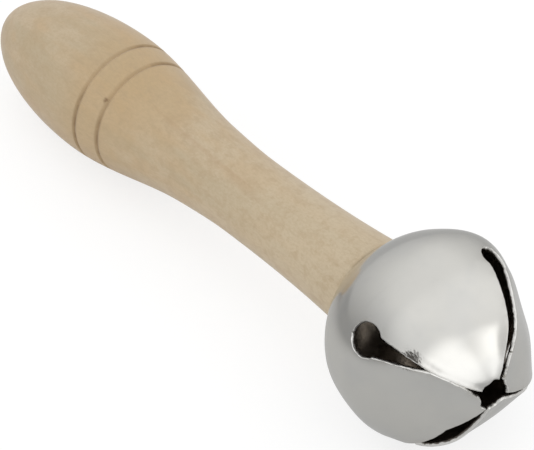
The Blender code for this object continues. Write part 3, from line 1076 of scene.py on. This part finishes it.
def make_pellet():
    """The loose ball: a tumbled steel ball with a faint belt where its halves were pressed."""
    low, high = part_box("pellet")
    bm = bmesh.new()
    bmesh.ops.create_icosphere(bm, subdivisions=5, radius=1.0)
    for vert in bm.verts:
        belt = PELLET_BELT * math.exp(-(vert.co.z / PELLET_BELT_WIDTH) ** 2)
        towards_pole = max(0.0, abs(vert.co.z) - PELLET_POLE) / (1.0 - PELLET_POLE)
        vert.co = vert.co * (PELLET_SKIN + belt - PELLET_POLE_FLAT * towards_pole)
    bm.transform(Matrix.Rotation(math.radians(PELLET_TILT), 4, "X"))
    mesh = mesh_from(bm, "pellet_ball")
    mesh.materials.append(pellet_material())
    item = add_item("pellet_ball", mesh)
    centre = Matrix.Translation((low + high) / 2.0) @ Matrix.Scale(MM, 4)
    finish_piece(item, centre, "pellet")
    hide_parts("pellet")


# Studio

CAMERA_TURN = 51.4786
CAMERA_HEIGHT = 41.2031
CAMERA_ROLL = 0.0631
CAMERA_PLACE = (0.895745, -0.708562, 1.009152)
CAMERA_LENS = 559.716

# The room: the even sky that lights the stick, then the walls and the window that metal sees
SKY = 0.93
WALL_LEVEL = 0.555
WALL_RISE = 0.33
GLOW = 0.17
GLOW_ANGLES = (75.0, 25.0)
WINDOW = 0.68
WINDOW_WAY = Vector((0.939, 0.042, 0.342)).normalized()
WINDOW_LONG = Vector((-0.388, -0.391, 0.836)).normalized()
WINDOW_HALF_SIZES = (30.0, 10.5)

# The floor: its own light and its colour as the lens sees it, its light in the metal
FLOOR_HALF_SIZE = 3.0
FLOOR_DROP = 0.00002
FLOOR_GLOW = 0.76
FLOOR_GREY = 0.29
FLOOR_IN_METAL = 0.34
PAPER = 0.95

# The lamp: the way to it from the bell, how far, its side and its power
LAMP_WAY = Vector((0.51, 0.02, 0.86)).normalized()
LAMP_DISTANCE = 0.7
LAMP_SIZE = 0.30
LAMP_POWER = 0.14


def make_camera():
    """The camera at the photograph's angle."""
    turn, height = math.radians(CAMERA_TURN), math.radians(CAMERA_HEIGHT)
    roll = math.radians(CAMERA_ROLL)
    right = Vector((math.cos(turn), math.sin(turn), 0.0))
    level = Vector((-math.sin(turn), math.cos(turn), 0.0))
    ahead = level * math.cos(height) - Vector((0.0, 0.0, math.sin(height)))
    down = ahead.cross(right)
    across = right * math.cos(roll) + down * math.sin(roll)
    up = right * math.sin(roll) - down * math.cos(roll)
    lens = bpy.data.cameras.new("camera")
    lens.lens = CAMERA_LENS
    lens.clip_start = 0.05
    lens.clip_end = 20.0
    camera = add_item("camera", lens)
    aim = Matrix((across, up, -ahead)).transposed().to_4x4()
    camera.matrix_world = Matrix.Translation(CAMERA_PLACE) @ aim
    bpy.context.scene.camera = camera


def room_in_metal(tree, direction):
    """What metal sees each way: walls that pale upwards, and one soft window before the nose."""
    ahead, side, up = (tree.part(direction, name) for name in "XYZ")
    walls = up * WALL_RISE + WALL_LEVEL + tree.step(side, -0.80, 0.35, -0.20, 0.065)
    walls = walls - tree.step(side, 0.35, 0.70, 0.0, 0.10) * tree.step(ahead, -0.60, 0.0, 1.0, 0.0)
    facing = tree.dot(direction, WINDOW_WAY)
    wide, narrow = (math.cos(math.radians(angle)) for angle in GLOW_ANGLES)
    glow = tree.step(facing, wide, narrow, 0.0, GLOW)
    long_way = (WINDOW_LONG - WINDOW_WAY * WINDOW_LONG.dot(WINDOW_WAY)).normalized()
    long_half, short_half = (math.sin(math.radians(half)) for half in WINDOW_HALF_SIZES)
    along = tree.dot(direction, long_way / long_half)
    across = tree.dot(direction, WINDOW_WAY.cross(long_way) / short_half)
    off = tree.math("SQRT", along * along + across * across)
    window = tree.step(off, 0.45, 1.15, WINDOW, 0.0) * tree.step(facing, 0.0, 0.5)
    return walls + glow + window


def ray_kinds(tree):
    """Whether a ray comes straight from the lens, and whether metal sent it."""
    path = tree.add("ShaderNodeLightPath", {}, {}, "Is Camera Ray")
    seen = tree.math("MAXIMUM", path, path.other("Is Transmission Ray"))
    return seen, path.other("Is Glossy Ray")


def make_world():
    """A pale room: white behind the stick, an even sky for its light, walls for its metal."""
    world = bpy.data.worlds.new("studio")
    bpy.context.scene.world = world
    world.use_nodes = True
    world.node_tree.nodes.clear()
    tree = Tree(world.node_tree)
    seen, glossy = ray_kinds(tree)
    room = room_in_metal(tree, tree.add("ShaderNodeTexCoord", {}, {}, "Generated"))
    level = seen + (1.0 - seen) * (glossy * room + (1.0 - glossy) * SKY)
    sockets = {"Color": rgb(1.0, 1.0, 1.0), "Strength": level}
    light = tree.add("ShaderNodeBackground", {}, sockets)
    tree.add("ShaderNodeOutputWorld", {}, {"Surface": light})


def make_floor():
    """A pale sheet of paper that reads white and keeps a light shadow of the stick."""
    half = FLOOR_HALF_SIZE
    corners = [(-half, -half, 0.0), (half, -half, 0.0), (half, half, 0.0), (-half, half, 0.0)]
    mesh = bpy.data.meshes.new("floor")
    mesh.from_pydata(corners, [], [(0, 1, 2, 3)])
    floor = add_item("floor", mesh)
    floor.location.z = -FLOOR_DROP
    material, tree, shader = new_material("paper")
    seen, glossy = ray_kinds(tree)
    place = tree.add("ShaderNodeTexCoord", {}, {}, "Object")
    near_bell = tree.step(tree.distance(place, BELL_CENTRE), 0.05, 0.11)
    shade = FLOOR_IN_METAL - near_bell * tree.step(tree.part(place, "Y"), -0.06, 0.03, 0.24, 0.11)
    sockets = {"Color": rgb(1.0, 1.0, 1.0), "Strength": seen * FLOOR_GLOW + glossy * shade}
    glow = tree.add("ShaderNodeEmission", {}, sockets)
    pale = rgb(PAPER, PAPER, PAPER)
    grey = rgb(FLOOR_GREY, FLOOR_GREY, FLOOR_GREY)
    feed(tree, shader, "Base Color", tree.mix(tree.math("MAXIMUM", seen, glossy), pale, grey))
    shader.inputs["Roughness"].default_value = 0.95
    shader.inputs["Specular IOR Level"].default_value = 0.0
    both = tree.add("ShaderNodeAddShader")
    tree.group.links.new(shader.outputs[0], both.end.node.inputs[0])
    tree.group.links.new(glow.end, both.end.node.inputs[1])
    output = material.node_tree.nodes["Material Output"]
    tree.group.links.new(both.end, output.inputs["Surface"])
    mesh.materials.append(material)


def make_lamp():
    """A square soft light above the nose that faces the bell and leaves no spot in its metal."""
    lamp = bpy.data.lights.new("soft light", "AREA")
    lamp.size = LAMP_SIZE
    lamp.energy = LAMP_POWER
    item = add_item("soft light", lamp)
    item.location = BELL_CENTRE + LAMP_WAY * LAMP_DISTANCE
    item.rotation_euler = LAMP_WAY.to_track_quat("Z", "Y").to_euler()
    item.visible_glossy = False


def main():
    """Make the pieces, then the studio."""
    make_handle()
    make_bell(nickel_material(), sheared_material(), inside_material())
    make_screw()
    make_pellet()
    make_camera()
    make_world()
    make_floor()
    make_lamp()
    bpy.context.scene.view_settings.view_transform = "Standard"


main()
